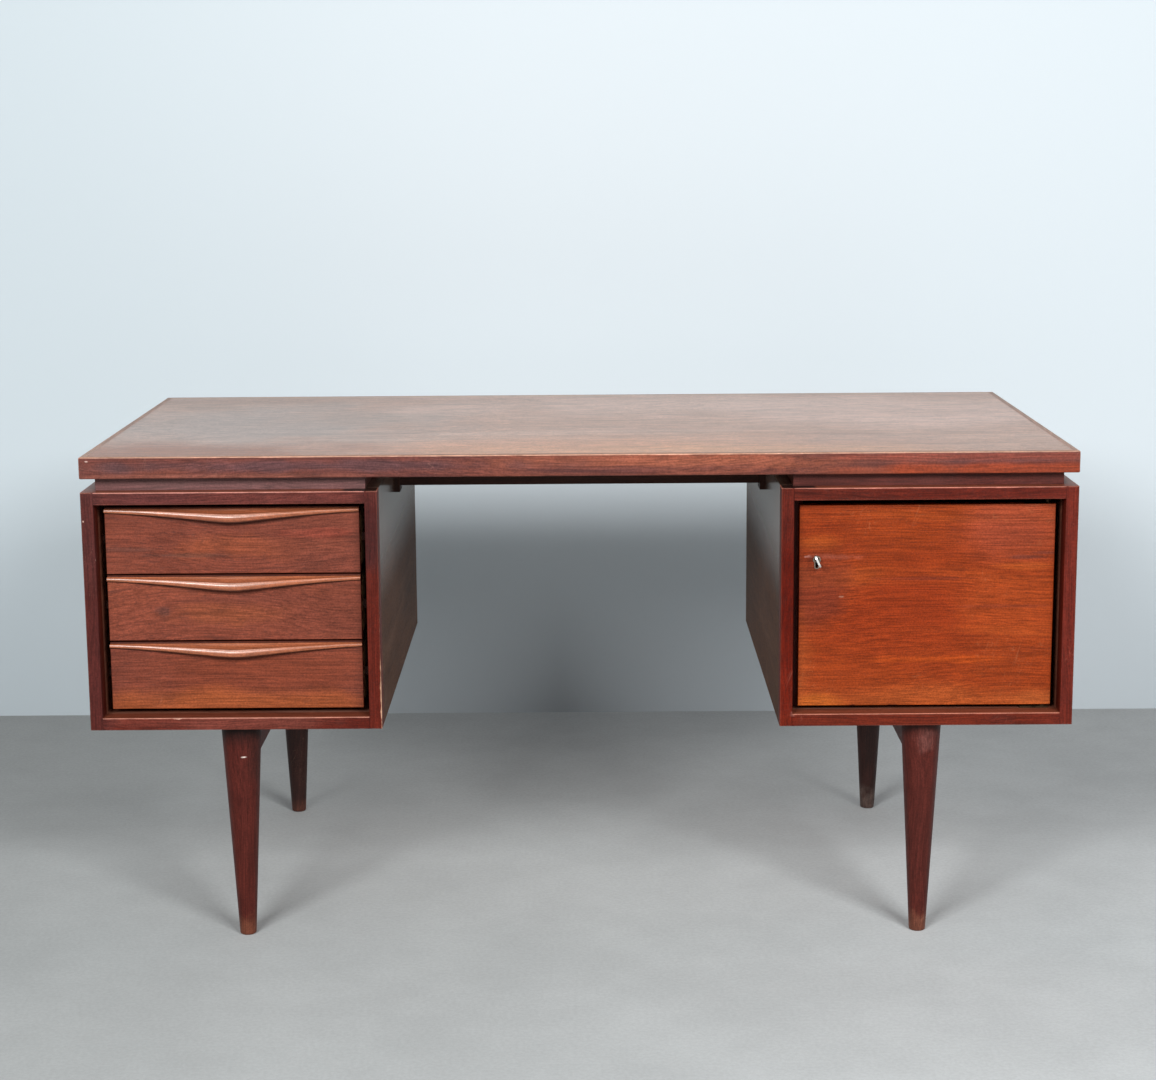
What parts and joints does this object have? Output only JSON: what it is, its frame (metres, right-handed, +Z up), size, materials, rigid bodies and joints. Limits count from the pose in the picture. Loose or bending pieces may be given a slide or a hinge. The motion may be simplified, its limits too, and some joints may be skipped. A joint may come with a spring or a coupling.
{
  "type": "writing desk",
  "caption": "Writing desk: a long top over two pedestals, drawers with carved lip handles on the left, a lockable cupboard on the right, round tapered legs.",
  "frame": {"origin": "on the floor, under the middle of the desk", "axes": "+X to the right along the desk as its user sees it, +Y to the back, +Z up"},
  "size_m": [1.4, 0.7, 0.715],
  "materials": {
    "top_veneer": "satin, faded",
    "top_edge": "satin",
    "case_veneer": "satin",
    "case_edge": "satin",
    "spacer_wood": "satin",
    "drawer_veneer": "satin",
    "handle_wood": "satin",
    "door_veneer": "satin",
    "leg_wood": "satin",
    "rail_wood": "satin",
    "back_veneer": "matt",
    "drawer_box_wood": "matt",
    "plywood": "matt",
    "runner_wood": "matt, waxed",
    "screw_steel": "zinc plated",
    "hinge_brass": "satin",
    "lock_steel": "satin",
    "key_nickel": "worn nickel"
  },
  "bodies": {
    "frame": {"cupboard_shelf": "case_veneer", "desktop_front_lipping": "top_edge", "desktop_left_lipping": "top_edge", "desktop_panel": "top_veneer", "desktop_rear_lipping": "top_edge", "desktop_right_lipping": "top_edge", "desktop_screws": "screw_steel", "door_pivot_pins": "hinge_brass", "drawer_runners": "runner_wood", "front_left_leg": "leg_wood", "front_right_leg": "leg_wood", "kneehole_rail": "rail_wood", "kneehole_rail_blocks": "rail_wood", "left_back_panel": "back_veneer", "left_bottom_board": "case_veneer", "left_front_lippings": "case_edge", "left_inner_side": "case_veneer", "left_leg_rail": "leg_wood", "left_outer_side": "case_veneer", "left_spacer_battens": "spacer_wood", "left_top_board": "case_veneer", "leg_rail_screws": "screw_steel", "lock_batten": "runner_wood", "rail_block_screws": "screw_steel", "rear_left_leg": "leg_wood", "rear_right_leg": "leg_wood", "right_back_panel": "back_veneer", "right_bottom_board": "case_veneer", "right_front_lippings": "case_edge", "right_inner_side": "case_veneer", "right_leg_rail": "leg_wood", "right_outer_side": "case_veneer", "right_spacer_battens": "spacer_wood", "right_top_board": "case_veneer", "shelf_pins": "hinge_brass", "strike_plate": "lock_steel"},
    "upper_drawer": {"upper_drawer_back": "drawer_box_wood", "upper_drawer_bottom": "plywood", "upper_drawer_front": "drawer_veneer", "upper_drawer_handle": "handle_wood", "upper_drawer_left_side": "drawer_box_wood", "upper_drawer_right_side": "drawer_box_wood"},
    "middle_drawer": {"middle_drawer_back": "drawer_box_wood", "middle_drawer_bottom": "plywood", "middle_drawer_front": "drawer_veneer", "middle_drawer_handle": "handle_wood", "middle_drawer_left_side": "drawer_box_wood", "middle_drawer_right_side": "drawer_box_wood"},
    "lower_drawer": {"lower_drawer_back": "drawer_box_wood", "lower_drawer_bottom": "plywood", "lower_drawer_front": "drawer_veneer", "lower_drawer_handle": "handle_wood", "lower_drawer_left_side": "drawer_box_wood", "lower_drawer_right_side": "drawer_box_wood"},
    "door": {"door_panel": "door_veneer", "door_pivot_plates": "hinge_brass", "lock_case": "lock_steel", "keyhole_escutcheon": "key_nickel"},
    "key": {"key": "key_nickel"},
    "lock_bolt": {"lock_bolt": "hinge_brass"}
  },
  "joints": [
    {"name": "upper_drawer_slide", "type": "slide", "parent": "frame", "child": "upper_drawer", "axis": [0, -1, 0], "range_m": [0, 0.45]},
    {"name": "middle_drawer_slide", "type": "slide", "parent": "frame", "child": "middle_drawer", "axis": [0, -1, 0], "range_m": [0, 0.45]},
    {"name": "lower_drawer_slide", "type": "slide", "parent": "frame", "child": "lower_drawer", "axis": [0, -1, 0], "range_m": [0, 0.45]},
    {"name": "door_hinge", "type": "hinge", "parent": "frame", "child": "door", "pos_m": [0.6628, -0.316, 0.5], "axis": [0, 0, 1], "range_deg": [0, 100]},
    {"name": "key_turn", "type": "hinge", "parent": "door", "child": "key", "pos_m": [0.3363, -0.326, 0.558], "axis": [0, 1, 0], "range_deg": [0, 180]},
    {"name": "lock_bolt_slide", "type": "slide", "parent": "door", "child": "lock_bolt", "axis": [-1, 0, 0], "range_m": [0, 0.008]}
  ],
  "couplings": [
    {"joint": "key_turn", "follows": "lock_bolt_slide", "rad_per_m": 392.69}
  ]
}
